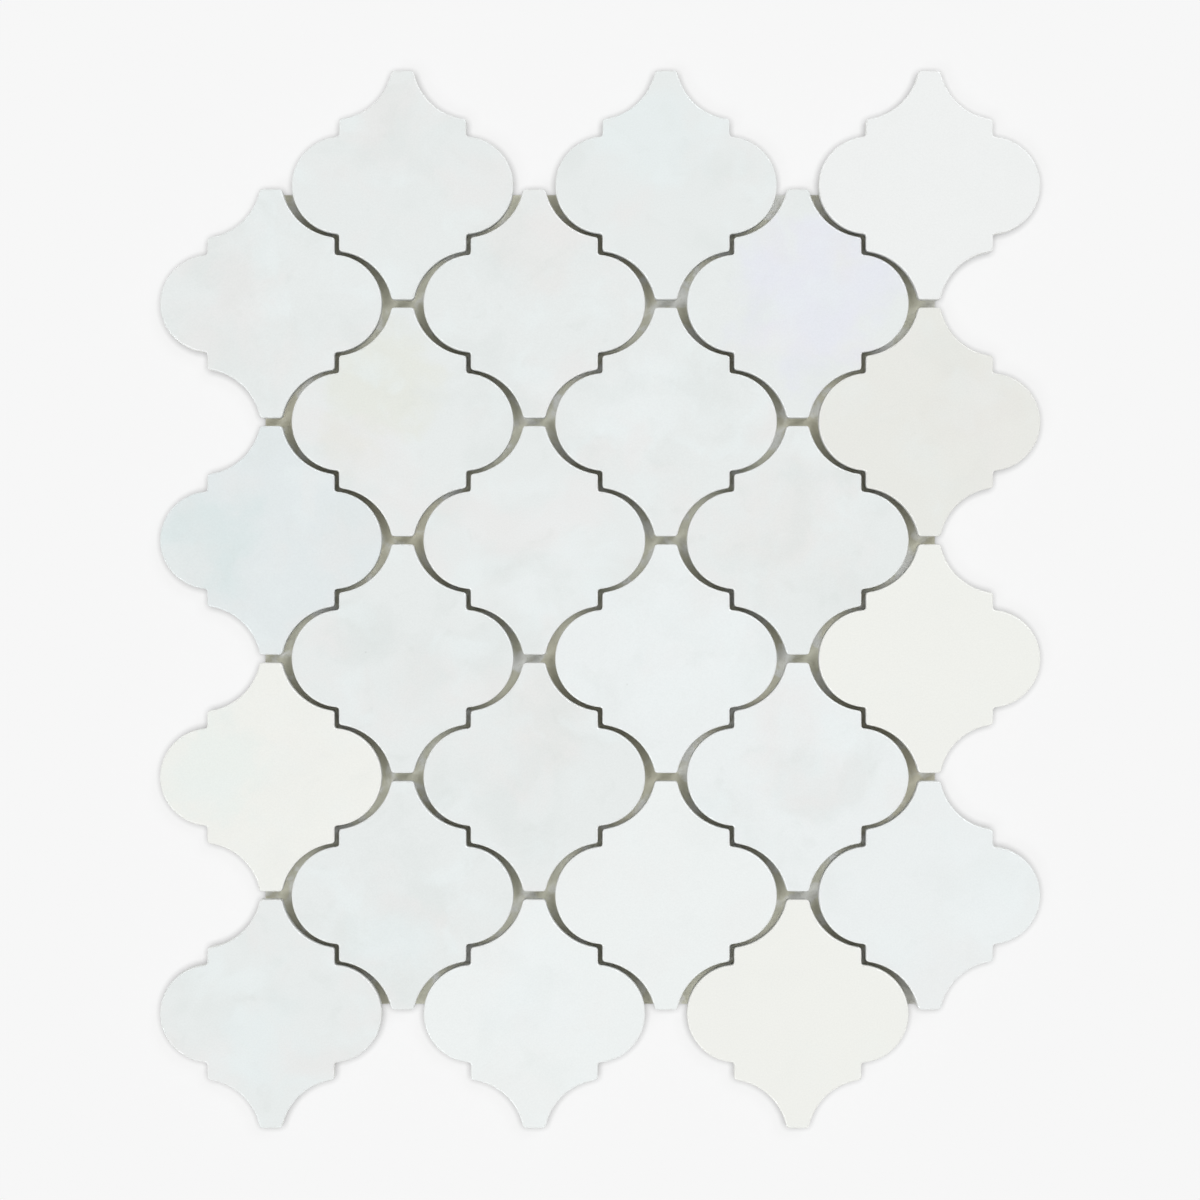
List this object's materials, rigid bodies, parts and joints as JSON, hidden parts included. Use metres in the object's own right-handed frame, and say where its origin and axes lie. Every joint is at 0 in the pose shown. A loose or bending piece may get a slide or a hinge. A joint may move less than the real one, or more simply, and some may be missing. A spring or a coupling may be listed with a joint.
{
  "type": "marble mosaic tile sheet",
  "caption": "Mesh-mounted mosaic sheet of lantern-shaped polished white marble tiles with open grout joints and an interlocking edge, for walls and floors.",
  "frame": {"origin": "middle of the sheet, on the underside of the mesh backing", "axes": "+X across the sheet, +Y up the sheet, +Z out of the polished face"},
  "size_m": [0.254, 0.305, 0.01],
  "materials": {
    "marble": "polished face with sawn sides and back",
    "mesh": "open glass-fibre net, stiffened with adhesive"
  },
  "bodies": {
    "root": {"lantern_tile_r1_c1": "marble", "lantern_tile_r1_c2": "marble", "lantern_tile_r1_c3": "marble", "lantern_tile_r2_c1": "marble", "lantern_tile_r2_c2": "marble", "lantern_tile_r2_c3": "marble", "lantern_tile_r3_c1": "marble", "lantern_tile_r3_c2": "marble", "lantern_tile_r3_c3": "marble", "lantern_tile_r4_c1": "marble", "lantern_tile_r4_c2": "marble", "lantern_tile_r4_c3": "marble", "lantern_tile_r5_c1": "marble", "lantern_tile_r5_c2": "marble", "lantern_tile_r5_c3": "marble", "lantern_tile_r6_c1": "marble", "lantern_tile_r6_c2": "marble", "lantern_tile_r6_c3": "marble", "lantern_tile_r7_c1": "marble", "lantern_tile_r7_c2": "marble", "lantern_tile_r7_c3": "marble", "lantern_tile_r8_c1": "marble", "lantern_tile_r8_c2": "marble", "lantern_tile_r8_c3": "marble", "mesh_backing": "mesh"}
  },
  "joints": []
}
